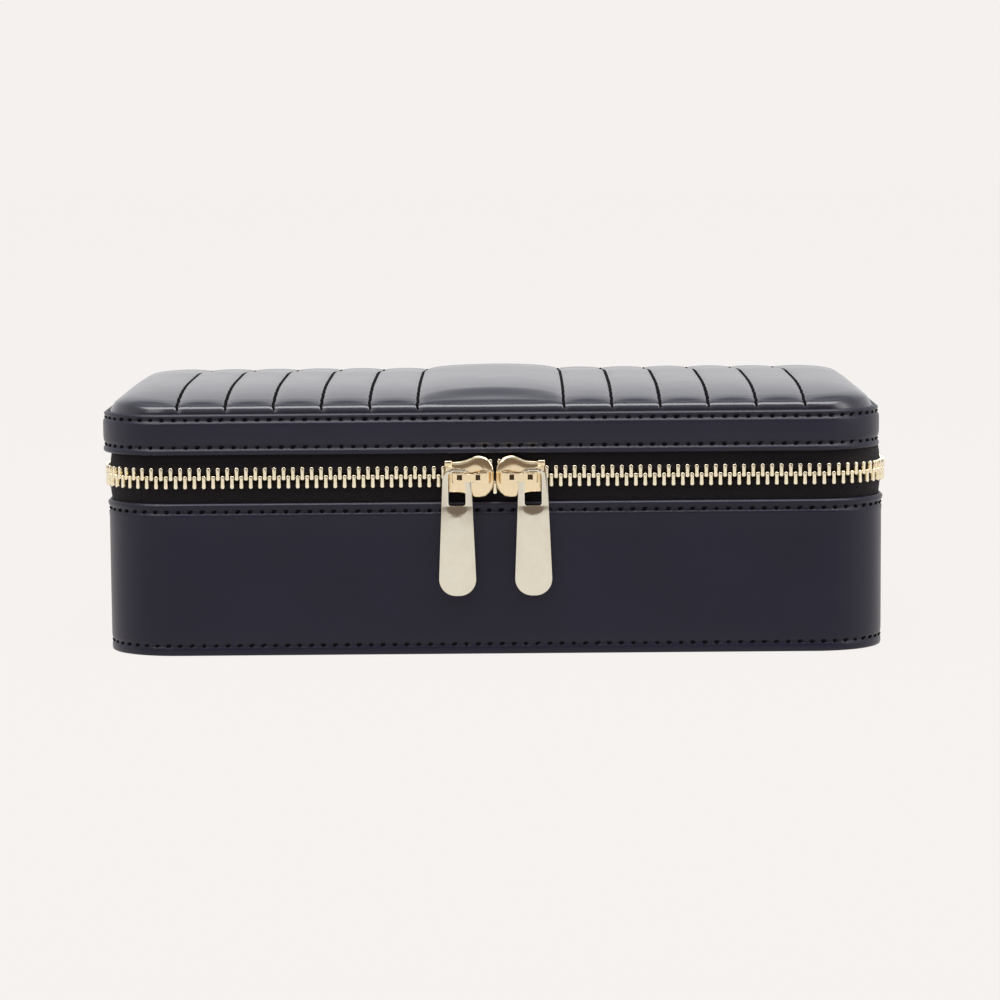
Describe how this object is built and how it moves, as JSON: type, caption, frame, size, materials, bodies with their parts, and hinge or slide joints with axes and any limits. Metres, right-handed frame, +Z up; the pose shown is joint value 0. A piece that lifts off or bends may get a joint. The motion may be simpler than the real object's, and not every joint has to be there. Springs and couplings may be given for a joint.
{
  "type": "zip-round jewellery case",
  "caption": "Low leather jewellery case with a channel-quilted padded lid, a two-way metal zip round three sides, pull tabs, and a lined interior with ring rolls, compartments and a mirror.",
  "frame": {"origin": "centre of the flat bottom face that the case stands on", "axes": "+X to the right seen from the front, +Y from the front towards the hinge at the back, +Z up"},
  "size_m": [0.211, 0.1503, 0.0721],
  "materials": {
    "navy_leather": "satin",
    "board": "matte",
    "suede_lining": "matte",
    "zip_tape": "matte",
    "zip_teeth": "polished",
    "quilted_leather": "gloss",
    "foam": "matte",
    "mirror_glass": "polished",
    "hook_brass": "polished",
    "elastic": "matte",
    "slider_gold": "polished",
    "spring_steel": "satin",
    "pull_gold": "polished"
  },
  "bodies": {
    "base": {"base_bottom_leather": "navy_leather", "base_wall_leather": "navy_leather", "base_board": "board", "inner_collar": "board", "base_lining": "suede_lining", "ring_tray": "suede_lining", "ring_roll_1": "suede_lining", "ring_roll_2": "suede_lining", "ring_roll_3": "suede_lining", "ring_roll_4": "suede_lining", "ring_roll_5": "suede_lining", "ring_roll_6": "suede_lining", "ring_roll_7": "suede_lining", "divider_centre": "suede_lining", "divider_long": "suede_lining", "divider_front": "suede_lining", "divider_rear_left": "suede_lining", "divider_rear_right": "suede_lining", "zip_tape_lower": "zip_tape", "zip_teeth_lower": "zip_teeth", "zip_stops_lower": "zip_teeth", "spine_leather": "navy_leather", "spine_lining": "suede_lining"},
    "lid": {"lid_wall_leather": "navy_leather", "lid_board": "board", "lid_lining": "suede_lining", "lid_top_leather": "quilted_leather", "lid_top_foam": "foam", "mirror": "mirror_glass", "mirror_frame": "suede_lining", "hook_strip": "suede_lining", "necklace_hooks": "hook_brass", "necklace_pocket": "suede_lining", "pocket_elastic": "elastic", "zip_tape_upper": "zip_tape", "zip_teeth_upper": "zip_teeth", "zip_stops_upper": "zip_teeth"},
    "left_slider": {"left_slider_body": "slider_gold", "left_slider_crown": "slider_gold", "left_lock_spring": "spring_steel"},
    "right_slider": {"right_slider_body": "slider_gold", "right_slider_crown": "slider_gold", "right_lock_spring": "spring_steel"},
    "left_pull": {"left_pull_tab": "pull_gold"},
    "right_pull": {"right_pull_tab": "pull_gold"}
  },
  "joints": [
    {"name": "lid_hinge", "type": "hinge", "parent": "base", "child": "lid", "pos_m": [0, 0.0725, 0.04775], "axis": [-1, 0, 0], "range_deg": [0, 100], "deforming": ["spine_leather", "spine_lining"]},
    {"name": "left_slider_run", "type": "slide", "parent": "base", "child": "left_slider", "axis": [-1, 0, 0], "range_m": [0, 0.07], "deforming": ["zip_teeth_lower", "zip_teeth_upper"]},
    {"name": "right_slider_run", "type": "slide", "parent": "base", "child": "right_slider", "axis": [1, 0, 0], "range_m": [0, 0.07], "deforming": ["zip_teeth_lower", "zip_teeth_upper"]},
    {"name": "left_pull_swing", "type": "hinge", "parent": "left_slider", "child": "left_pull", "pos_m": [-0.0102, -0.0749, 0.04725], "axis": [0, 1, 0], "range_deg": [-8, 90]},
    {"name": "right_pull_swing", "type": "hinge", "parent": "right_slider", "child": "right_pull", "pos_m": [0.0102, -0.0749, 0.04725], "axis": [0, -1, 0], "range_deg": [-8, 90]}
  ]
}
